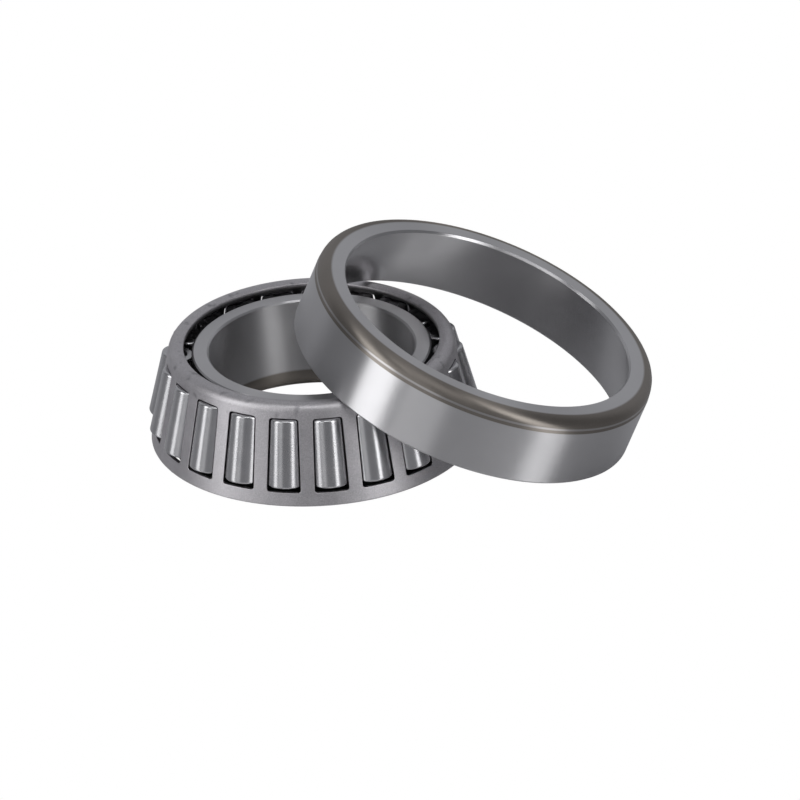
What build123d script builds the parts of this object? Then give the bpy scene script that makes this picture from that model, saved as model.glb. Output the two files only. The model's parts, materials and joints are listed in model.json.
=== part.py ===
from build123d import *
import math
import os

# Tapered roller bearing of 29 mm bore, with its outer ring taken off and leaned on the
# roller assembly. Millimetres and degrees. The origin is the centre of the inner ring's
# back face, on the bore axis. +Z runs from that face to the small end.

# Boundary sizes of the bearing
BORE_R = 14.5
INNER_WIDTH = 14.732
ASSEMBLED_WIDTH = INNER_WIDTH - 0.508    # the small rib stands past the outer ring
OUTER_WIDTH = ASSEMBLED_WIDTH - 3.556    # and so does the large rib at the other end
RACE_SMALL_R = BORE_R + 6.6              # outer raceway radius at the outer ring's back face
OUTER_R = RACE_SMALL_R + 4.046

# Rolling geometry: both raceways and the rollers share one apex on the bearing axis
RACE_ANGLE = 14.2            # half-angle of the outer raceway's cone
ROLLER_COUNT = 21
ROLLER_FILL = 0.7369         # roller diameters at the big end, as a share of the raceway round them
ROLLER_LENGTH = INNER_WIDTH - 4.932
ROLLER_CORNER = 0.35
ROLLER_END_Z = 4.4           # height of the big end where it touches the outer raceway
ROLLER_PHASE = -85.2         # bearing angle of the first roller
END_DIMPLE_R = 1.25          # shallow turned recess in each roller end
END_DIMPLE_DEPTH = 0.15

# Inner ring
LARGE_RIB_R = BORE_R + 5.45
SMALL_RIB_R = BORE_R + 2.4
SMALL_RIB_CHAMFER = 0.3
LARGE_RIB_CHAMFER = 0.5
BACK_CORNER_R = 3.8          # clears the shaft's shoulder fillet
FRONT_BORE_CHAMFER = 0.25
RELIEF_DEPTH = 0.25          # grinding relief at each end of the raceway
RELIEF_WIDTH = 0.6

# Outer ring
OUTER_BACK_CORNER = 1.45     # rounded corner at the back face
OUTER_BEVEL_WIDTH = 2.1      # unground lead-in, from the back face down
OUTER_BEVEL_DEPTH = 0.27     # what the lead-in is smaller in radius at the back face
OUTER_FRONT_CHAMFER = 0.3
OUTER_INNER_CHAMFER = 0.35

# Cage, pressed from sheet
CAGE_SHEET = 0.8
CAGE_BOTTOM_Z = 1.5
CAGE_WALL_OFFSET = 1.5905    # the wall's outside, from the rollers' axes
CAGE_LIP_Z = INNER_WIDTH + 0.848         # top of the lip at its inner edge
CAGE_LIP_R = SMALL_RIB_R + 1.1
CAGE_LIP_ANGLE = 15.0        # the lip dips towards the inner ring
CAGE_SHOULDER_R = 1.25       # outside bend radius of the shoulder
CAGE_EDGE = 0.2              # rounded edges of the sheet

# Clearances
RACE_CLEARANCE = 0.03        # roller to inner raceway and large rib
SMALL_RIB_GAP = 0.3          # roller to small rib
POCKET_CLEARANCE = 0.18      # roller to cage bar
POCKET_END_GAP = 0.06        # roller's small end to the pocket, where the cage hangs on it
POCKET_PLAY = 0.72           # free length past the roller's big end

# Leaning outer ring: which way its axis points, where its centre stands, and how close it
# comes to the cage. Its lean is worked out from these.
LEAN_DIRECTION = -7.3
LEAN_CENTRE_X = OUTER_R - 2.286
LEAN_CENTRE_Y = -2.85
LEAN_GAP = 0.0686
FLOOR_GAP = 0.0              # lowest rim to the surface that the bearing stands on

# Worked out from the sizes above
APEX_Z = ASSEMBLED_WIDTH + RACE_SMALL_R / math.tan(math.radians(RACE_ANGLE))
BIG_END_RACE_R = (APEX_Z - ROLLER_END_Z) * math.tan(math.radians(RACE_ANGLE))
ROLLER_BIG_R = ROLLER_FILL * math.pi * BIG_END_RACE_R / ROLLER_COUNT
BIG_END_SLANT = (APEX_Z - ROLLER_END_Z) / math.cos(math.radians(RACE_ANGLE))
TAPER = math.degrees(math.asin(ROLLER_BIG_R / BIG_END_SLANT))
TILT = RACE_ANGLE - TAPER
INNER_RACE_ANGLE = RACE_ANGLE - 2 * TAPER
BIG_END = BIG_END_SLANT * math.cos(math.radians(TAPER))
SMALL_END = BIG_END - ROLLER_LENGTH
PITCH = 360 / ROLLER_COUNT
CAGE_WALL_REACH = CAGE_WALL_OFFSET / math.cos(math.radians(TILT))
CAGE_BOTTOM_R = (APEX_Z - CAGE_BOTTOM_Z) * math.tan(math.radians(TILT)) + CAGE_WALL_REACH


def along_roller(distance, offset):
    """Radius and height of a point beside a roller's axis, from the apex down."""
    tilt = math.radians(TILT)
    radius = distance * math.sin(tilt) + offset * math.cos(tilt)
    height = APEX_Z - distance * math.cos(tilt) + offset * math.sin(tilt)
    return radius, height


def roller_radius(distance):
    return distance * math.tan(math.radians(TAPER))


def inner_race_radius(height):
    return (APEX_Z - height) * math.tan(math.radians(INNER_RACE_ANGLE)) - RACE_CLEARANCE


def outer_race_radius(height):
    return (APEX_Z - height) * math.tan(math.radians(RACE_ANGLE))


def turned(points, radii):
    """Solid of revolution from a closed outline of (radius, height) points."""
    outline = FilletPolyline(*points, radius=radii, close=True)
    return revolve(Plane.XZ * make_face(outline), axis=Axis.Z)


def inner_ring():
    """Inner ring: raceway between a large and a small rib, with ground reliefs."""
    rib_inner = along_roller(BIG_END + RACE_CLEARANCE, -roller_radius(BIG_END))
    rib_slope = math.tan(math.radians(TILT))
    rib_z = rib_inner[1] - (LARGE_RIB_R - rib_inner[0]) * rib_slope
    small_z = along_roller(SMALL_END - SMALL_RIB_GAP, -roller_radius(SMALL_END))[1]
    relief_low = rib_inner[1] + RELIEF_WIDTH
    relief_high = small_z - RELIEF_WIDTH
    points = [
        (BORE_R, 0),
        (LARGE_RIB_R - LARGE_RIB_CHAMFER, 0),
        (LARGE_RIB_R, LARGE_RIB_CHAMFER),
        (LARGE_RIB_R, rib_z),
        (inner_race_radius(rib_inner[1]) + RELIEF_DEPTH, rib_inner[1] - RELIEF_DEPTH * rib_slope),
        (inner_race_radius(relief_low) - RELIEF_DEPTH, rib_inner[1]),
        (inner_race_radius(relief_low) - RELIEF_DEPTH, relief_low - RELIEF_DEPTH),
        (inner_race_radius(relief_low), relief_low),
        (inner_race_radius(relief_high), relief_high),
        (inner_race_radius(relief_high) - RELIEF_DEPTH, relief_high + RELIEF_DEPTH),
        (inner_race_radius(relief_high) - RELIEF_DEPTH, small_z),
        (SMALL_RIB_R, small_z),
        (SMALL_RIB_R, INNER_WIDTH - SMALL_RIB_CHAMFER),
        (SMALL_RIB_R - SMALL_RIB_CHAMFER, INNER_WIDTH),
        (BORE_R + FRONT_BORE_CHAMFER, INNER_WIDTH),
        (BORE_R, INNER_WIDTH - FRONT_BORE_CHAMFER),
    ]
    radii = [BACK_CORNER_R] + [0] * (len(points) - 1)
    return turned(points, radii)


def roller_profile(grow, big_end, small_end, corner):
    """Half section of a tapered roller on its own axis, grown by a clearance."""
    big = roller_radius(big_end) + grow
    small = roller_radius(small_end) + grow
    points = [(0, -big_end), (big, -big_end), (small, -small_end), (0, -small_end)]
    return points, [0, corner, corner, 0]


def roller_frame(number):
    """Location that takes a roller from the apex, axis down, to its place."""
    angle = ROLLER_PHASE + number * PITCH
    return Pos(0, 0, APEX_Z) * Rot(0, 0, angle) * Rot(0, -TILT, 0)


def roller():
    """One tapered roller on its own axis, with a shallow recess in each end."""
    points, radii = roller_profile(0, BIG_END, SMALL_END, ROLLER_CORNER)
    body = turned(points, radii)
    for end, side in ((BIG_END, 1), (SMALL_END, -1)):
        centre = -end + side * END_DIMPLE_DEPTH / 2
        body -= Pos(0, 0, centre) * Cylinder(END_DIMPLE_R, END_DIMPLE_DEPTH)
    return body


def crossing(first, first_angle, second, second_angle):
    """Where two lines meet, each given by a (radius, height) point and an angle."""
    first_way = Vector(math.cos(math.radians(first_angle)), math.sin(math.radians(first_angle)))
    second_way = Vector(math.cos(math.radians(second_angle)), math.sin(math.radians(second_angle)))
    between = Vector(*second) - Vector(*first)
    reach = between.cross(second_way).Z / first_way.cross(second_way).Z
    corner = Vector(*first) + first_way * reach
    return corner.X, corner.Y


def cage_shell():
    """The pressed cage before its pockets: a cone with a rolled shoulder and lip."""
    wall_way = 90 + TILT
    wall = CAGE_SHEET / math.cos(math.radians(TILT))
    lip_drop = CAGE_SHEET / math.cos(math.radians(CAGE_LIP_ANGLE))
    foot_out = (CAGE_BOTTOM_R, CAGE_BOTTOM_Z)
    foot_in = (CAGE_BOTTOM_R - wall, CAGE_BOTTOM_Z)
    lip_top = (CAGE_LIP_R, CAGE_LIP_Z)
    lip_under = (CAGE_LIP_R, CAGE_LIP_Z - lip_drop)
    points = [
        foot_out,
        crossing(foot_out, wall_way, lip_top, CAGE_LIP_ANGLE),
        lip_top,
        lip_under,
        crossing(foot_in, wall_way, lip_under, CAGE_LIP_ANGLE),
        foot_in,
    ]
    inside_bend = CAGE_SHOULDER_R - CAGE_SHEET
    radii = [CAGE_EDGE, CAGE_SHOULDER_R, CAGE_EDGE, CAGE_EDGE, inside_bend, CAGE_EDGE]
    return turned(points, radii)


def cage():
    """Pressed cage, with a pocket for each roller."""
    cutter_points, cutter_radii = roller_profile(
        POCKET_CLEARANCE, BIG_END + POCKET_PLAY, SMALL_END - POCKET_END_GAP, ROLLER_CORNER)
    cutter = turned(cutter_points, cutter_radii)
    return cage_shell() - [roller_frame(i) * cutter for i in range(ROLLER_COUNT)]


def outer_ring():
    """Outer ring, built upright with its open front at z = 0 and its back face up."""
    front_race = outer_race_radius(ASSEMBLED_WIDTH - OUTER_WIDTH)
    slope = math.tan(math.radians(RACE_ANGLE))
    chamfer = OUTER_INNER_CHAMFER
    band_z = OUTER_WIDTH - OUTER_BEVEL_WIDTH
    points = [
        (front_race + chamfer, 0),
        (OUTER_R - OUTER_FRONT_CHAMFER, 0),
        (OUTER_R, OUTER_FRONT_CHAMFER),
        (OUTER_R, band_z),
        (OUTER_R - OUTER_BEVEL_DEPTH, OUTER_WIDTH),
        (RACE_SMALL_R + chamfer, OUTER_WIDTH),
        (RACE_SMALL_R + chamfer * slope, OUTER_WIDTH - chamfer),
        (front_race - chamfer * slope, chamfer),
    ]
    radii = [0, 0, 0, 0, OUTER_BACK_CORNER, 0, 0, 0]
    return turned(points, radii)


def lean_frame(degrees):
    """Location of the upright outer ring when it leans with its rim on the surface."""
    lean = math.radians(degrees)
    rim = OUTER_R - OUTER_FRONT_CHAMFER
    centre_z = FLOOR_GAP + OUTER_WIDTH / 2 * math.cos(lean) + rim * math.sin(lean)
    turn = Rot(0, 0, LEAN_DIRECTION) * Rot(0, degrees, 0) * Pos(0, 0, -OUTER_WIDTH / 2)
    return Pos(LEAN_CENTRE_X, LEAN_CENTRE_Y, centre_z) * turn


def resting_lean(ring):
    """How far the outer ring leans, in degrees, when it comes down on the roller assembly."""
    low_z, high_z = ROLLER_END_Z, along_roller(SMALL_END, roller_radius(SMALL_END))[1]
    swept = [(SMALL_RIB_R, low_z), (outer_race_radius(low_z), low_z),
             (outer_race_radius(high_z), high_z), (SMALL_RIB_R, high_z)]
    standing = [cage_shell(), turned(swept, [0] * 4)]
    fastest = math.radians(2 * OUTER_R)      # the most that any of its points moves in a degree
    lean = 45.0
    while True:
        leaned = lean_frame(lean) * ring
        spare = min(leaned.distance_to(solid) for solid in standing) - LEAN_GAP
        if spare < 0.001:
            return lean
        lean -= spare / fastest


loose_ring = outer_ring()
pieces = {
    "inner_ring": inner_ring(),
    "cage": cage(),
    "outer_ring": lean_frame(resting_lean(loose_ring)) * loose_ring,
}
for number in range(ROLLER_COUNT):
    pieces[f"roller_{number + 1:02d}"] = roller_frame(number) * roller()

os.makedirs("parts", exist_ok=True)
for name, piece in pieces.items():
    export_step(piece, f"parts/{name}.step")
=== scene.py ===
import json
import math

import bmesh
import bpy
import numpy as np
from mathutils import Matrix, Vector


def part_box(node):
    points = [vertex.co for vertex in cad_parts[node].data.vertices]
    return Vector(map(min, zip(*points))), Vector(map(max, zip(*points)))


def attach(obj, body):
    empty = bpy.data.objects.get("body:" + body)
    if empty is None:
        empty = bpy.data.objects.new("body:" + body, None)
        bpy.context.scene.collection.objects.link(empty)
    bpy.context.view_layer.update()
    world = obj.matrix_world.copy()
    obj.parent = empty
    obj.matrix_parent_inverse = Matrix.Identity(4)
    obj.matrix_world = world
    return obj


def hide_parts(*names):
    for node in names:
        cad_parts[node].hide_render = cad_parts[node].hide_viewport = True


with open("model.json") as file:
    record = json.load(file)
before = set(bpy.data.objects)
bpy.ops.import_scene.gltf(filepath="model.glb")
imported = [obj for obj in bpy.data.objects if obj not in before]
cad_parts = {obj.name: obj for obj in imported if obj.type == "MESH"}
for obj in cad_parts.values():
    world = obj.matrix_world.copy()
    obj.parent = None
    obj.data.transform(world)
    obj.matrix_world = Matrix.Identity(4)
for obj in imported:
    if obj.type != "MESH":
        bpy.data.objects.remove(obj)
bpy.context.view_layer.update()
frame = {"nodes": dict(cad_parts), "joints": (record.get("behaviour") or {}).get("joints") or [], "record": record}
mounts = {m["name"]: m for m in frame["record"]["mounts"]}
joints = {j["name"]: j for j in frame["joints"]}


# The inner ring is turned from bearing steel, hardened, and ground on its bore, raceway,
# ribs and faces. Lengths here are in millimetres. Each roller's axis meets the ring's axis
# in one apex, and the raceway's cone shares it.
MM = 0.001
ROLLER_LENGTH = 9.8
ROLLER_BIG_R = 2.6
first_axis = Vector(joints["roller_01_spin"]["axis"])
first_middle = Vector(joints["roller_01_spin"]["pos_m"]) / MM
TILT = first_axis.angle(Vector((0, 0, 1)))
MIDDLE = first_middle.xy.length / math.sin(TILT)
APEX_Z = first_middle.z + MIDDLE * math.cos(TILT)
BIG_END = MIDDLE + ROLLER_LENGTH / 2
SMALL_END = MIDDLE - ROLLER_LENGTH / 2
TAPER = math.atan(ROLLER_BIG_R / BIG_END)

BORE_R = mounts["bore"]["dims"]["r_mm"]
INNER_WIDTH = mounts["inner_ring_front_face"]["pos_m"][2] / MM
LARGE_RIB_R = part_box("inner_ring")[1].x / MM
SMALL_RIB_R = 16.9
BACK_CORNER_R = 3.8
RACE_CLEARANCE = 0.03
SMALL_RIB_GAP = 0.3
RELIEF_DEPTH = 0.25
RELIEF_WIDTH = 0.6
LARGE_RIB_CHAMFER = 0.5
SMALL_RIB_CHAMFER = 0.3
BORE_CHAMFER = 0.25
EDGE_BREAK = 0.08            # tumbled edge of a ground ring
FINE_EDGE = 0.05             # edge of a chamfer or a recess
RELIEF_CORNER = 0.1
RACE_EDGE = 0.03             # where the raceway ends at its relief
RING_STEPS = 240             # facets round a ring
ARC_STEP = math.radians(15)  # largest turn between two points of a rounded corner
SUPPORT = 0.05               # flat strip beside a rounded corner, which keeps its shading there


def corner_points(before, corner, after, radius):
    """The points of one corner of an outline, rounded and with a flat strip on each side."""
    before, corner, after = Vector(before), Vector(corner), Vector(after)
    way_in = (before - corner).normalized()
    way_out = (after - corner).normalized()
    half = way_in.angle(way_out) / 2
    reach = radius / math.tan(half)
    centre = corner + (way_in + way_out).normalized() * (radius / math.sin(half))
    start, end = corner + way_in * reach, corner + way_out * reach
    sweep = (start - centre).angle_signed(end - centre)
    steps = max(2, math.ceil(abs(sweep) / ARC_STEP))
    spokes = [Matrix.Rotation(-sweep * step / steps, 2) @ (start - centre) for step in range(steps + 1)]
    return [start + way_in * SUPPORT, *(centre + spoke for spoke in spokes), end + way_out * SUPPORT]


def rounded(outline):
    """A closed outline of (radius, height, corner radius), with its corners rounded."""
    points = []
    for number, (radius, height, corner) in enumerate(outline):
        before = outline[number - 1][:2]
        after = outline[(number + 1) % len(outline)][:2]
        points += corner_points(before, (radius, height), after, corner)
    return points


def plain_mesh(maker):
    """The finished mesh of an object whose modifiers still run, with its faces outwards."""
    evaluated = maker.evaluated_get(bpy.context.evaluated_depsgraph_get())
    mesh = bpy.data.meshes.new_from_object(evaluated)
    bpy.data.objects.remove(maker)
    shell = bmesh.new()
    shell.from_mesh(mesh)
    bmesh.ops.remove_doubles(shell, verts=shell.verts, dist=0.0005 * MM)
    bmesh.ops.recalc_face_normals(shell, faces=shell.faces)
    shell.to_mesh(mesh)
    shell.free()
    mesh.shade_smooth()
    return mesh


def turned(points, steps, name):
    """A mesh turned from a closed outline of (radius, height) points round the Z axis."""
    section = bpy.data.meshes.new(name)
    corners = [(radius * MM, 0, height * MM) for radius, height in points]
    edges = [(at, (at + 1) % len(corners)) for at in range(len(corners))]
    section.from_pydata(corners, edges, [])
    maker = bpy.data.objects.new(name, section)
    bpy.context.scene.collection.objects.link(maker)
    lathe = maker.modifiers.new("lathe", "SCREW")
    lathe.steps = lathe.render_steps = steps
    lathe.use_merge_vertices = True
    lathe.merge_threshold = 0.0005 * MM
    return plain_mesh(maker)


def piece(name, mesh, material, body):
    """Puts a finished mesh in the scene in place of the CAD node of the same name."""
    made = bpy.data.objects.new(name + "_finished", mesh)
    bpy.context.scene.collection.objects.link(made)
    mesh.materials.clear()
    mesh.materials.append(material)
    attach(made, body)
    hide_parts(name)
    return made


def beside_roller(distance, offset):
    """Radius and height of a point beside a roller's axis, at a distance from the apex."""
    radius = distance * math.sin(TILT) + offset * math.cos(TILT)
    return radius, APEX_Z - distance * math.cos(TILT) + offset * math.sin(TILT)


def inner_race(height):
    return (APEX_Z - height) * math.tan(TILT - TAPER) - RACE_CLEARANCE


rib_r, rib_z = beside_roller(BIG_END + RACE_CLEARANCE, -BIG_END * math.tan(TAPER))
nose_z = beside_roller(SMALL_END - SMALL_RIB_GAP, -SMALL_END * math.tan(TAPER))[1]
rib_slope = math.tan(TILT)
low, high = rib_z + RELIEF_WIDTH, nose_z - RELIEF_WIDTH
inner_outline = [
    (BORE_R, 0, BACK_CORNER_R),
    (LARGE_RIB_R - LARGE_RIB_CHAMFER, 0, EDGE_BREAK),
    (LARGE_RIB_R, LARGE_RIB_CHAMFER, EDGE_BREAK),
    (LARGE_RIB_R, rib_z - (LARGE_RIB_R - rib_r) * rib_slope, EDGE_BREAK),
    (inner_race(rib_z) + RELIEF_DEPTH, rib_z - RELIEF_DEPTH * rib_slope, RACE_EDGE),
    (inner_race(low) - RELIEF_DEPTH, rib_z, RELIEF_CORNER),
    (inner_race(low) - RELIEF_DEPTH, low - RELIEF_DEPTH, RELIEF_CORNER),
    (inner_race(low), low, RACE_EDGE),
    (inner_race(high), high, RACE_EDGE),
    (inner_race(high) - RELIEF_DEPTH, high + RELIEF_DEPTH, RELIEF_CORNER),
    (inner_race(high) - RELIEF_DEPTH, nose_z, RELIEF_CORNER),
    (SMALL_RIB_R, nose_z, EDGE_BREAK),
    (SMALL_RIB_R, INNER_WIDTH - SMALL_RIB_CHAMFER, EDGE_BREAK),
    (SMALL_RIB_R - SMALL_RIB_CHAMFER, INNER_WIDTH, EDGE_BREAK),
    (BORE_R + BORE_CHAMFER, INNER_WIDTH, FINE_EDGE),
    (BORE_R, INNER_WIDTH - BORE_CHAMFER, FINE_EDGE),
]


class Number:
    """A number in a material, on which Python's operators add Math nodes."""

    def __init__(self, sheet, socket):
        self.sheet, self.socket = sheet, socket

    def apply(self, operation, *values):
        return self.sheet.add("ShaderNodeMath", {"operation": operation}, list(values))

    def __add__(self, other):
        return self.apply("ADD", self, other)

    def __sub__(self, other):
        return self.apply("SUBTRACT", self, other)

    def __rsub__(self, other):
        return self.apply("SUBTRACT", other, self)

    def __mul__(self, other):
        return self.apply("MULTIPLY", self, other)

    def __pow__(self, other):
        return self.apply("POWER", self, other)

    __radd__ = __add__


class Nodes:
    """The node tree of a material or a world."""

    def __init__(self, tree):
        self.tree = tree

    def add(self, kind, settings, values, out=0):
        """Adds a node: its settings, then the values or links of its sockets."""
        node = self.tree.nodes.new(kind)
        for key, value in settings.items():
            setattr(node, key, value)
        for key, value in (enumerate(values) if isinstance(values, list) else values.items()):
            self.feed(node.inputs[key], value)
        return Number(self, node.outputs[out])

    def feed(self, socket, value):
        if isinstance(value, Number):
            self.tree.links.new(value.socket, socket)
        else:
            socket.default_value = value

    def parts(self, vector):
        """The three numbers in a vector."""
        split = self.add("ShaderNodeSeparateXYZ", {}, [vector])
        return [Number(self, out) for out in split.socket.node.outputs]

    def noise(self, x, y, z, scale, detail=3.0, roughness=0.5):
        """Noise from 0 to 1 about the middle, on any three numbers."""
        at = self.add("ShaderNodeCombineXYZ", {}, [x, y, z])
        return self.add("ShaderNodeTexNoise", {},
                        {"Vector": at, "Scale": scale, "Detail": detail, "Roughness": roughness})

    def band(self, value, start, end):
        """0 below start, 1 above end, smooth between them. start may be the larger one."""
        return self.add("ShaderNodeMapRange", {"interpolation_type": "SMOOTHSTEP"},
                        [value, start, end, 0.0, 1.0])

    def mix(self, factor, first, second):
        """A colour between two colours."""
        node = self.tree.nodes.new("ShaderNodeMix")
        node.data_type = "RGBA"
        self.feed(node.inputs[0], factor)
        for socket, colour in ((node.inputs[6], first), (node.inputs[7], second)):
            self.feed(socket, colour if isinstance(colour, Number) else (*colour, 1.0))
        return Number(self, node.outputs[2])

    def bump(self, height, distance, strength=1.0):
        """A normal from a height of 0 to 1, whose full step is distance millimetres."""
        return self.add("ShaderNodeBump", {}, {"Height": height, "Distance": distance * MM,
                                               "Strength": strength}, "Normal")


class Sheet(Nodes):
    """The nodes of one metal finish."""

    def __init__(self, name):
        self.material = bpy.data.materials.new(name)
        self.material.use_nodes = True
        super().__init__(self.material.node_tree)
        self.shader = self.tree.nodes["Principled BSDF"]
        self.shader.inputs["Metallic"].default_value = 1.0

    def finish(self, **values):
        """Feeds the shader's sockets, such as base_color or roughness."""
        for key, value in values.items():
            self.feed(self.shader.inputs[key.replace("_", " ").title()], value)
        return self.material

    def place(self, centre=(0, 0, 0), turn=(0, 0, 0)):
        """Object coordinates from a ring's centre, with z on its axis: x, y, radius and z, in mm."""
        where = self.add("ShaderNodeTexCoord", {}, {}, "Object")
        own = self.add("ShaderNodeMapping", {"vector_type": "TEXTURE"},
                       {"Vector": where, "Location": centre, "Rotation": turn})
        x, y, z = (part * (1 / MM) for part in self.parts(own))
        return x, y, (x * x + y * y) ** 0.5, z


GROUND = (0.490, 0.487, 0.497)        # freshly ground bearing steel
SCALE_BROWN = (0.225, 0.205, 0.185)   # skin left by hardening where no wheel has been
SHADE_BLACK = (0.012, 0.012, 0.012)          # painted shade: near black on the ribs' outsides, where they lie in shadow


def ground_steel(name, skin_and_painted_light, centre=(0, 0, 0), turn=(0, 0, 0)):
    """Ground bearing steel with wheel marks round its axis.

    The zones function gives three areas as 0 to 1: unground, painted shade (near black), and coarsely ground.
    """
    sheet = Sheet(name)
    x, y, radius, z = sheet.place(centre, turn)
    around = x * 0.16 + y * 0.11
    marks = sheet.noise(radius * 9.0, z * 9.0, around, 1.0, 4.0, 0.7)
    cloud = sheet.noise(x, y, z, 0.16, 3.0)
    grain = sheet.noise(x, y, z, 7.0, 2.0)
    raw, painted_shade, coarse = skin_and_painted_light(sheet, radius, z)
    bright = sheet.mix(cloud * 0.85 + marks * 0.15,
                       [c * 0.93 for c in GROUND], [c * 1.07 for c in GROUND])
    brown = sheet.mix(grain * 0.5 + cloud * 0.5,
                      [c * 0.8 for c in SCALE_BROWN], [c * 1.25 for c in SCALE_BROWN])
    rough = 0.3 + (marks - 0.5) * 0.02 + (cloud - 0.5) * 0.06 + raw * 0.1
    height = marks * (1 - raw) + grain * raw
    # painted shade: near black mixed over the steel where the zones function marks shade
    colour = sheet.mix(painted_shade, sheet.mix(raw, bright, brown), SHADE_BLACK)
    return sheet.finish(base_color=colour, roughness=rough + painted_shade * 0.3 + coarse * 0.11, anisotropic=0.95,
                        anisotropic_rotation=0.25, normal=sheet.bump(height, 0.0005, 0.3))


def inner_ring_skin_and_shade(sheet, radius, z):
    """The back corner is unground, the ribs' outsides get painted shade, and the bore is coarse."""
    corner = sheet.band(z, BACK_CORNER_R + 0.1, BACK_CORNER_R - 0.35) * sheet.band(
        radius, BORE_R + BACK_CORNER_R, BORE_R + BACK_CORNER_R - 0.4)
    # painted shade: the outsides of both ribs are painted near black where they lie in shadow
    small_rib = sheet.band(radius, SMALL_RIB_R - 0.12, SMALL_RIB_R - 0.04) * sheet.band(
        z, nose_z - 0.05, nose_z + 0.05)
    large_rib = sheet.band(radius, LARGE_RIB_R - 0.45, LARGE_RIB_R - 0.1)
    return corner, small_rib + large_rib, sheet.band(radius, BORE_R + 0.1, BORE_R + 0.02)


piece("inner_ring", turned(rounded(inner_outline), RING_STEPS, "inner_ring"),
      ground_steel("ground_inner_ring", inner_ring_skin_and_shade),
      "inner_ring")


# The tapered rollers are headed from bearing steel, hardened, ground and polished. Each end
# has a rounded corner and a shallow turned recess. One is turned here on its own axis, and
# stood at each roller's place round the inner ring.
ROLLER_CORNER = 0.35
RECESS_R = 1.25
RECESS_DEPTH = 0.15
RECESS_SLOPE = 0.35          # width of the recess's sloping wall
RECESS_CORNER = 0.1
ROLLER_STEPS = 72

big_r, small_r = BIG_END * math.tan(TAPER), SMALL_END * math.tan(TAPER)
roller_half = [
    (RECESS_R - RECESS_SLOPE, -BIG_END + RECESS_DEPTH, RECESS_CORNER),
    (RECESS_R, -BIG_END, FINE_EDGE),
    (big_r, -BIG_END, ROLLER_CORNER),
    (small_r, -SMALL_END, ROLLER_CORNER),
    (RECESS_R, -SMALL_END, FINE_EDGE),
    (RECESS_R - RECESS_SLOPE, -SMALL_END - RECESS_DEPTH, RECESS_CORNER),
]
big_middle, small_middle = (0, -BIG_END + RECESS_DEPTH), (0, -SMALL_END - RECESS_DEPTH)
path = [big_middle, *roller_half, small_middle]
roller_points = [big_middle]
for before, (radius, height, corner), after in zip(path, path[1:-1], path[2:]):
    roller_points += corner_points(before[:2], (radius, height), after[:2], corner)
roller_points.append(small_middle)
one_roller = bpy.data.objects.new("one_roller", turned(roller_points, ROLLER_STEPS, "roller"))
bpy.context.scene.collection.objects.link(one_roller)


class Tree:
    """A Geometry Nodes tree with named inputs, run once on an object."""

    def __init__(self, name, **inputs):
        self.tree = bpy.data.node_groups.new(name, "GeometryNodeTree")
        self.tree.interface.new_socket("Geometry", in_out="INPUT", socket_type="NodeSocketGeometry")
        self.tree.interface.new_socket("Geometry", in_out="OUTPUT", socket_type="NodeSocketGeometry")
        kinds = {int: "NodeSocketInt", float: "NodeSocketFloat", tuple: "NodeSocketVector"}
        for key, kind in inputs.items():
            self.tree.interface.new_socket(key, in_out="INPUT", socket_type=kinds[kind])
        self.inputs = self.tree.nodes.new("NodeGroupInput").outputs

    def add(self, kind, settings, values):
        """Adds a node: its settings, then the values or links of its sockets."""
        node = self.tree.nodes.new(kind)
        for key, value in settings.items():
            setattr(node, key, value)
        for key, value in values.items():
            if isinstance(value, bpy.types.NodeSocket):
                self.tree.links.new(value, node.inputs[key])
            else:
                node.inputs[key].default_value = value
        return node.outputs[0]

    def end(self, geometry, material):
        """Ends the tree in real geometry that wears the material."""
        real = self.add("GeometryNodeRealizeInstances", {}, {"Geometry": geometry})
        worn = self.add("GeometryNodeSetMaterial", {}, {"Geometry": real, "Material": material})
        self.tree.links.new(worn, self.tree.nodes.new("NodeGroupOutput").inputs[0])

    def run(self, name, mesh, **values):
        """The plain mesh that the tree makes of a mesh with these values."""
        maker = bpy.data.objects.new(name, mesh)
        bpy.context.scene.collection.objects.link(maker)
        modifier = maker.modifiers.new(name, "NODES")
        modifier.node_group = self.tree
        for socket in self.tree.interface.items_tree:
            if socket.name in values:
                modifier[socket.identifier] = values[socket.name]
        return plain_mesh(maker)


def polished_roller():
    """Polished bearing steel with faint marks and clouds."""
    sheet = Sheet("polished_rollers")
    x, y, _, z = sheet.place()
    marks = sheet.noise(x * 0.9, y * 0.9, z * 14.0, 1.0, 3.0, 0.6)
    cloud = sheet.noise(x, y, z, 0.5, 2.0)
    colour = sheet.mix(cloud, (0.45, 0.45, 0.465), (0.51, 0.505, 0.515))
    rough = 0.23 + (marks - 0.5) * 0.03 + (cloud - 0.5) * 0.06
    return sheet.finish(base_color=colour, roughness=rough, normal=sheet.bump(marks, 0.0001, 0.1))


roller_steel = polished_roller()
stand = Tree("stand_roller", Lean=float, Turn=float, Lift=float)
lean_turn = stand.add("ShaderNodeCombineXYZ", {}, {"Y": stand.inputs["Lean"], "Z": stand.inputs["Turn"]})
lift = stand.add("ShaderNodeCombineXYZ", {}, {"Z": stand.inputs["Lift"]})
stand.end(stand.add("GeometryNodeTransform", {}, {
    "Geometry": stand.inputs["Geometry"], "Rotation": lean_turn, "Translation": lift}), roller_steel)
rollers = sorted(name for name in frame["nodes"] if name.startswith("roller_"))
for name in rollers:
    axis = joints[name + "_spin"]["axis"]
    turn = math.atan2(-axis[1], -axis[0])
    mesh = stand.run(name, one_roller.data, Lean=-TILT, Turn=turn, Lift=APEX_Z * MM)
    piece(name, mesh, roller_steel, name)
bpy.data.objects.remove(one_roller)


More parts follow.
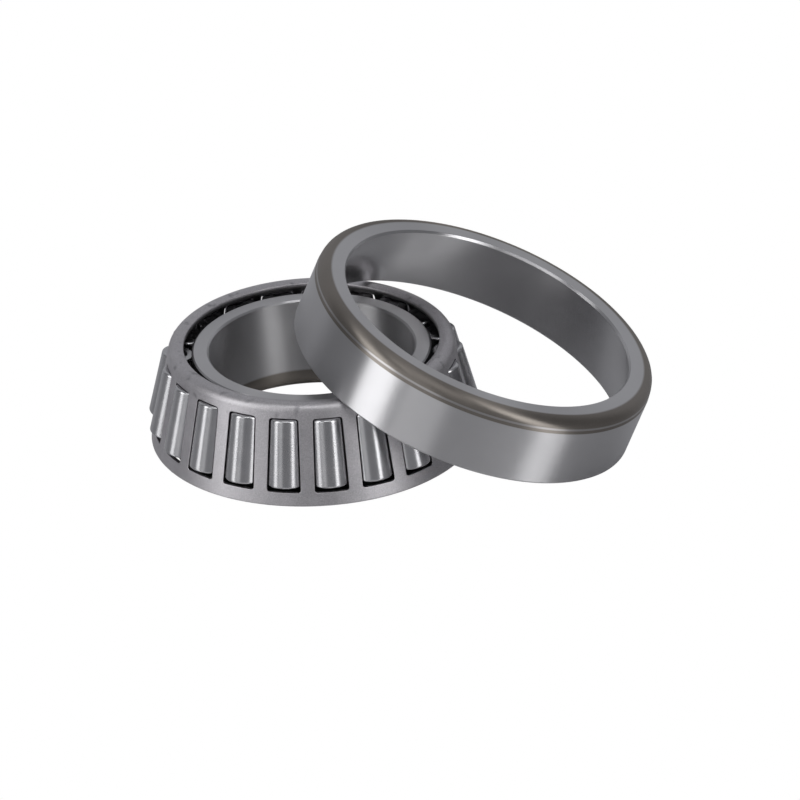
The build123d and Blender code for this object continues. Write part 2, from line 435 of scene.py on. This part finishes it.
# The cage is drawn from sheet steel into a cone that stands parallel to the rollers, with its
# top rolled over into a lip. A pocket is punched and coined for each roller, so that its bars
# wrap the roller outside its axis and hold it in. Then it is tumbled to a soft grain.
SHEET_THICK = 0.8
FOOT = Vector((23.2, 1.5))
LIP = Vector((18.0, 15.58))
LIP_ANGLE = math.radians(15.0)
SHOULDER_R = 1.25
SHEET_EDGE = 0.2
POCKET_EDGE = 0.09
POCKET_CLEARANCE = 0.18
POCKET_END_GAP = 0.06
POCKET_PLAY = 0.72
POCKET_CORNER = 0.4
END_STEPS, SIDE_STEPS, CORNER_STEPS = 8, 18, 3
EDGE_STEPS = 3                                   # facets across a pocket's rounded edge
WALL_SHARES = (1, 0.75, 0.5, 0.28, 0.12, 0)      # rows from a sector's border to its pocket

up = Vector((-math.sin(TILT), math.cos(TILT)))       # along the cage wall, in radius and height
out = Vector((math.cos(TILT), math.sin(TILT)))       # out of the cage wall
lip_way = Vector((math.cos(LIP_ANGLE), math.sin(LIP_ANGLE)))
lip_down = Vector((0, -SHEET_THICK / math.cos(LIP_ANGLE)))
foot_in = FOOT - Vector((SHEET_THICK / math.cos(TILT), 0))
PITCH = 2 * math.pi / len(rollers)


def meeting(first, first_way, second, second_way):
    """Where two lines of an outline cross."""
    between = second - first
    return first + first_way * (between.cross(second_way) / first_way.cross(second_way))


shoulder = meeting(FOOT, up, LIP, lip_way)
bend = meeting(foot_in, up, LIP + lip_down, lip_way)
inside_bend_r = SHOULDER_R - SHEET_THICK
top_chain = (corner_points(FOOT, shoulder, LIP, SHOULDER_R)
             + corner_points(shoulder, LIP, LIP + lip_down, SHEET_EDGE)
             + corner_points(LIP, LIP + lip_down, bend, SHEET_EDGE)
             + corner_points(LIP + lip_down, bend, foot_in, inside_bend_r))
foot_chain = (corner_points(bend, foot_in, FOOT, SHEET_EDGE)
              + corner_points(foot_in, FOOT, shoulder, SHEET_EDGE))


def on_wall(angle, along, deep):
    """A point of the cage wall: angle round it, way up it and depth into the sheet."""
    radius = FOOT.x - along * math.sin(TILT) - deep * math.cos(TILT)
    height = FOOT.y + along * math.cos(TILT) - deep * math.sin(TILT)
    return np.stack([radius * np.cos(angle), radius * np.sin(angle), height + 0 * angle], -1)


def pocket_half_width(along, deep):
    """Half the pocket's width where the wall cuts the roller's surface and its clearance."""
    radius = FOOT.x - along * math.sin(TILT) - deep * math.cos(TILT)
    below_apex = APEX_Z - (FOOT.y + along * math.cos(TILT) - deep * math.sin(TILT))
    angle = 0.1
    for _ in range(6):
        meridian = radius * np.cos(angle)
        above_axis = (meridian - below_apex * math.tan(TILT)) * math.cos(TILT)
        distance = below_apex * math.cos(TILT) + meridian * math.sin(TILT)
        reach = distance * math.tan(TAPER) + POCKET_CLEARANCE
        angle = np.arcsin(np.sqrt(reach ** 2 - above_axis ** 2) / radius)
    return radius * angle


def pocket(grow, deep):
    """The pocket's outline as angle and way up the wall, grown by some width, at some depth."""
    foot_distance = (APEX_Z - FOOT.y) * math.cos(TILT) + FOOT.x * math.sin(TILT)
    bottom = foot_distance - (BIG_END + POCKET_PLAY) - grow
    top = foot_distance - (SMALL_END - POCKET_END_GAP) + grow
    corner = POCKET_CORNER + grow

    def half_corner(number, start):
        """Half the arc of a numbered corner, from a start in quarter turns."""
        across, above = ((1, 1), (-1, 1), (-1, -1), (1, -1))[number % 4]
        points = []
        for step in range(CORNER_STEPS + 1):
            arc = (start + 0.5 * step / CORNER_STEPS) * math.pi / 2
            along = (top if above > 0 else bottom) - above * corner + corner * math.sin(arc)
            width = pocket_half_width(along, deep) + grow
            points.append((across * (width - corner) + corner * math.cos(arc), along))
        return np.array(points)

    sides = []
    for number, steps in enumerate((END_STEPS, SIDE_STEPS, END_STEPS, SIDE_STEPS)):
        first, last = half_corner(number, number + 0.5), half_corner(number + 1, number + 1)
        share = np.linspace(0, 1, steps + 1)[1:-1, None]
        sides.append(np.vstack([first, first[-1] + (last[0] - first[-1]) * share, last[:-1]]))
    loop = np.vstack(sides)
    radius = FOOT.x - loop[:, 1] * math.sin(TILT) - deep * math.cos(TILT)
    return np.stack([loop[:, 0] / radius, loop[:, 1]], -1)


def sector_border(bottom, top):
    """The border of one pitch of the wall, with as many points as a pocket's outline."""
    corners = [(PITCH / 2, top), (-PITCH / 2, top), (-PITCH / 2, bottom), (PITCH / 2, bottom)]
    counts = [steps + 2 * CORNER_STEPS for steps in (END_STEPS, SIDE_STEPS) * 2]
    sides = []
    for at, count in enumerate(counts):
        first, last = np.array(corners[at]), np.array(corners[(at + 1) % 4])
        sides.append(first + (last - first) * np.linspace(0, 1, count + 1)[:-1, None])
    return np.vstack(sides)


def wall_side(deep, foot_point, top_point):
    """Rows of one side of the wall, from the sector's border over its pocket's rounded edge."""
    border = sector_border(*((Vector(point) - FOOT).dot(up) for point in (foot_point, top_point)))
    edge = pocket(POCKET_EDGE + SUPPORT, deep)
    rows = [(edge + (border - edge) * share, deep) for share in WALL_SHARES]
    for step in range(EDGE_STEPS + 1):
        arc = step / EDGE_STEPS * math.pi / 2
        grow, sunk = POCKET_EDGE * (1 - math.sin(arc)), POCKET_EDGE * (1 - math.cos(arc))
        at = sunk if deep == 0 else SHEET_THICK - sunk
        rows.append((pocket(grow, at), at))
    return rows


def cage_sector():
    """One pitch of the cage, with its pocket's rounded edges, its lip and its foot."""
    outside = wall_side(0.0, foot_chain[-1], top_chain[0])
    inside = wall_side(SHEET_THICK, foot_chain[0], top_chain[-1])
    halfway = SHEET_THICK / 2
    rows = [*outside, (pocket(0, halfway), halfway), *inside[::-1]]
    wall = np.array([on_wall(loop[:, 0], loop[:, 1], deep) for loop, deep in rows])
    grids = [np.concatenate([wall, wall[:, :1]], 1)]
    angles = np.linspace(-PITCH / 2, PITCH / 2, END_STEPS + 2 * CORNER_STEPS + 1)
    for chain in (top_chain, foot_chain):
        grids.append(np.array([[(radius * math.cos(angle), radius * math.sin(angle), height)
                                for angle in angles] for radius, height in chain]))
    points, faces = [], []
    for grid in grids:
        count, columns = grid.shape[:2]
        numbers = len(points) + np.arange(count * columns).reshape(count, columns)
        points += [tuple(point * MM) for point in grid.reshape(-1, 3)]
        faces += np.stack([numbers[:-1, :-1], numbers[:-1, 1:], numbers[1:, 1:], numbers[1:, :-1]],
                          -1).reshape(-1, 4).tolist()
    mesh = bpy.data.meshes.new("cage_sector")
    mesh.from_pydata(points, [], faces)
    return mesh


def tumbled_sheet():
    """Tumbled sheet steel: a soft fine grain, faint draw marks, a few darker smudges, and painted shade inside the
    sheet.
    """
    sheet = Sheet("tumbled_cage_steel")
    x, y, radius, z = sheet.place()
    grain = sheet.noise(x, y, z, 6.5, 3.0, 0.6)
    speckle = sheet.noise(x, y, z, 22.0, 2.0, 0.6)
    cloud = sheet.noise(x, y, z, 0.35, 3.0, 0.55)
    smudge = sheet.band(sheet.noise(x, y, z, 0.55, 2.0), 0.6, 0.75) * sheet.band(z, 11.0, 13.5)
    tone = grain * 0.5 + speckle * 0.35 + cloud * 0.15
    colour = sheet.mix(sheet.band(tone, 0.3, 0.7), (0.34, 0.33, 0.345), (0.58, 0.565, 0.585))
    colour = sheet.mix(smudge * 0.5, colour, (0.13, 0.13, 0.14))
    # painted shade: the inside of the sheet, below the lip, is painted near black where it lies in shadow
    outward = (radius - (APEX_Z - z) * math.tan(TILT)) * math.cos(TILT)
    face = (FOOT.x - (APEX_Z - FOOT.y) * math.tan(TILT)) * math.cos(TILT)
    inside = sheet.band(outward, face - 0.35, face - 0.75) * sheet.band(z, LIP.y - 0.15, LIP.y - 0.5)
    colour = sheet.mix(inside * 0.75, colour, (0.07, 0.07, 0.07))
    rough = 0.46 + (grain - 0.5) * 0.2 + (cloud - 0.5) * 0.1
    height = grain * 0.7 + speckle * 0.3
    return sheet.finish(base_color=colour, roughness=rough, normal=sheet.bump(height, 0.012, 0.7))


cage_steel = tumbled_sheet()
ring_of_pockets = Tree("ring_of_pockets", Count=int, Pitch=float, Phase=float)
spots = ring_of_pockets.add("GeometryNodeMeshLine", {"mode": "OFFSET"}, {
    "Count": ring_of_pockets.inputs["Count"], "Offset": (0, 0, 0)})
spot = ring_of_pockets.add("GeometryNodeInputIndex", {}, {})
angle = ring_of_pockets.add("ShaderNodeMath", {"operation": "MULTIPLY_ADD"}, {
    0: spot, 1: ring_of_pockets.inputs["Pitch"], 2: ring_of_pockets.inputs["Phase"]})
spin = ring_of_pockets.add("ShaderNodeCombineXYZ", {}, {"Z": angle})
ring_of_pockets.end(ring_of_pockets.add("GeometryNodeInstanceOnPoints", {}, {
    "Points": spots, "Instance": ring_of_pockets.inputs["Geometry"], "Rotation": spin}), cage_steel)
first_turn = math.atan2(-first_axis.y, -first_axis.x)
piece("cage", ring_of_pockets.run("cage", cage_sector(), Count=len(rollers), Pitch=PITCH, Phase=first_turn),
      cage_steel, "cage")


# The outer ring is turned, hardened and ground on its outside, raceway and faces. Its back
# corner and the short lead-in below it stay as they came from hardening. It is loose, and it
# leans on the cage with its front rim on the surface.
OUTER_R = mounts["outer_diameter"]["dims"]["r_mm"]
OUTER_WIDTH = 10.668
RACE_SMALL_R = 21.1
RACE_ANGLE = TILT + TAPER
BEVEL_WIDTH = 2.1
BEVEL_DEPTH = 0.27
BACK_CORNER = 1.45
RACE_CHAMFER = 0.35          # at both ends of the raceway
FRONT_CHAMFER = 0.3          # outside, at the front face
BEVEL_EDGE = 0.12
BACK_EDGE = 0.06

ring_axis = Vector(joints["outer_ring_spin"]["axis"])
ring_centre = Vector(joints["outer_ring_spin"]["pos_m"])
ring_turn = Vector((0, 0, 1)).rotation_difference(ring_axis)
front_race = RACE_SMALL_R + OUTER_WIDTH * math.tan(RACE_ANGLE)
race_slope = math.tan(RACE_ANGLE)
outer_outline = [
    (front_race + RACE_CHAMFER, 0, FINE_EDGE),
    (OUTER_R - FRONT_CHAMFER, 0, EDGE_BREAK),
    (OUTER_R, FRONT_CHAMFER, EDGE_BREAK),
    (OUTER_R, OUTER_WIDTH - BEVEL_WIDTH, BEVEL_EDGE),
    (OUTER_R - BEVEL_DEPTH, OUTER_WIDTH, BACK_CORNER),
    (RACE_SMALL_R + RACE_CHAMFER, OUTER_WIDTH, BACK_EDGE),
    (RACE_SMALL_R + RACE_CHAMFER * race_slope, OUTER_WIDTH - RACE_CHAMFER, BACK_EDGE),
    (front_race - RACE_CHAMFER * race_slope, RACE_CHAMFER, FINE_EDGE),
]
middle = OUTER_WIDTH / 2
outer_points = [(radius, height - middle) for radius, height in rounded(outer_outline)]
outer_mesh = turned(outer_points, RING_STEPS, "outer_ring")
outer_mesh.transform(Matrix.Translation(ring_centre) @ ring_turn.to_matrix().to_4x4())


def outer_ring_skin_and_highlight(sheet, radius, z):
    """The lead-in band and the rounded back corner, with a painted highlight between them: a line of ground colour
    where the corner's crest catches light.
    """
    band = sheet.band(z, middle - BEVEL_WIDTH - 0.05, middle - BEVEL_WIDTH + 0.05)
    outside = sheet.band(radius, OUTER_R - BACK_CORNER - 0.5, OUTER_R - BACK_CORNER - 0.1)
    # painted highlight: the corner's crest gets bright ground colour instead of brown, where it catches light
    painted_crest_highlight = sheet.band(z, middle - BACK_CORNER - 0.22, middle - BACK_CORNER - 0.1) * sheet.band(
        z, middle - BACK_CORNER + 0.2, middle - BACK_CORNER + 0.05)
    return band * outside * (1 - painted_crest_highlight * 0.6), 0.0, 0.0


piece("outer_ring", outer_mesh,
      ground_steel("ground_outer_ring", outer_ring_skin_and_highlight, ring_centre, ring_turn.to_euler()),
      "outer_ring")


# The surface, the lights and the camera are not part of the bearing. The surface is pale to
# the eye, and greyer in the steel's reflections, as a studio table is beside its backdrop.
CAMERA_AT = Vector((0, -1.1261, 0.5899))
LOOK_AT = Vector((0.01209, 0, 0.005545))
CAMERA_ROLL = math.radians(-2.519)
LENS, SENSOR = 405.0, 36.0
FLOOR_REACH = 6.0            # metres each way

floor_mesh = bpy.data.meshes.new("floor")
floor_mesh.from_pydata([(x * FLOOR_REACH, y * FLOOR_REACH, 0)
                        for x, y in ((-1, -1), (1, -1), (1, 1), (-1, 1))], [], [(0, 1, 2, 3)])
floor_object = bpy.data.objects.new("floor", floor_mesh)
bpy.context.scene.collection.objects.link(floor_object)
pale = Sheet("pale_surface")
seen = pale.add("ShaderNodeLightPath", {}, {}, "Is Camera Ray")
matt = pale.add("ShaderNodeBsdfDiffuse", {}, {"Color": (0.30, 0.30, 0.31, 1)})
sheen = pale.add("ShaderNodeBsdfAnisotropic", {}, {"Color": (0.9, 0.9, 0.9, 1), "Roughness": 0.22})
satin = pale.add("ShaderNodeMixShader", {}, [0.45, matt, sheen])
glow = pale.add("ShaderNodeEmission", {}, {"Color": (1, 1, 1, 1), "Strength": 1.0})
shown = pale.add("ShaderNodeMixShader", {}, [seen, satin, glow])
pale.tree.links.new(shown.socket, pale.tree.nodes["Material Output"].inputs["Surface"])
floor_mesh.materials.append(pale.material)

world = bpy.data.worlds.new("studio")
bpy.context.scene.world = world
world.use_nodes = True
sky = Nodes(world.node_tree)
depth, height = sky.parts(sky.add("ShaderNodeTexCoord", {}, {}, "Generated"))[1:]
behind = sky.band(depth, 0.3, 0.6) * 0.28
overhead = sky.band(height, 0.5, 0.9) * 0.12
backdrop = world.node_tree.nodes["Background"]
sky.feed(backdrop.inputs["Strength"], 0.22 + behind + overhead)
backdrop.inputs["Color"].default_value = (0.95, 0.96, 1.0, 1)


def softbox(name, azimuth, elevation, distance, size, power):
    """A soft light turned to the bearing. Azimuth is in degrees from the camera's side."""
    light = bpy.data.lights.new(name, "AREA")
    light.shape = "RECTANGLE"
    light.size, light.size_y = size
    light.energy = power
    lamp = bpy.data.objects.new(name, light)
    turn, rise = math.radians(azimuth), math.radians(elevation)
    away = Vector((math.sin(turn) * math.cos(rise), -math.cos(turn) * math.cos(rise), math.sin(rise)))
    lamp.location = LOOK_AT + away * distance
    lamp.rotation_euler = away.to_track_quat("Z", "Y").to_euler()
    bpy.context.scene.collection.objects.link(lamp)
    return lamp


softbox("left_softbox", azimuth=-66, elevation=24, distance=0.9, size=(0.34, 0.8), power=2.6)
softbox("right_softbox", azimuth=43, elevation=24, distance=0.9, size=(0.3, 0.8), power=2.6)
softbox("front_softbox", azimuth=-36, elevation=18, distance=1.0, size=(0.42, 0.56), power=0.75)
softbox("top_softbox", azimuth=0, elevation=62, distance=0.9, size=(0.6, 0.3), power=1.3)
surface_light = softbox("surface_light", azimuth=-10, elevation=80, distance=0.5,
                        size=(0.4, 0.4), power=1.6)
surface_light.visible_glossy = False     # the steel doesn't reflect this one

forward = (LOOK_AT - CAMERA_AT).normalized()
sideways = forward.cross(Vector((0, 0, 1))).normalized()
above = sideways.cross(forward)
cos_roll, sin_roll = math.cos(CAMERA_ROLL), math.sin(CAMERA_ROLL)
right = sideways * cos_roll + above * sin_roll
upward = above * cos_roll - sideways * sin_roll
camera_data = bpy.data.cameras.new("camera")
camera_data.lens = LENS
camera_data.sensor_width = SENSOR
camera = bpy.data.objects.new("camera", camera_data)
bpy.context.scene.collection.objects.link(camera)
turned_to = Matrix((right, upward, -forward)).transposed().to_4x4()
camera.matrix_world = Matrix.Translation(CAMERA_AT) @ turned_to
bpy.context.scene.camera = camera
bpy.context.scene.view_settings.view_transform = "Standard"
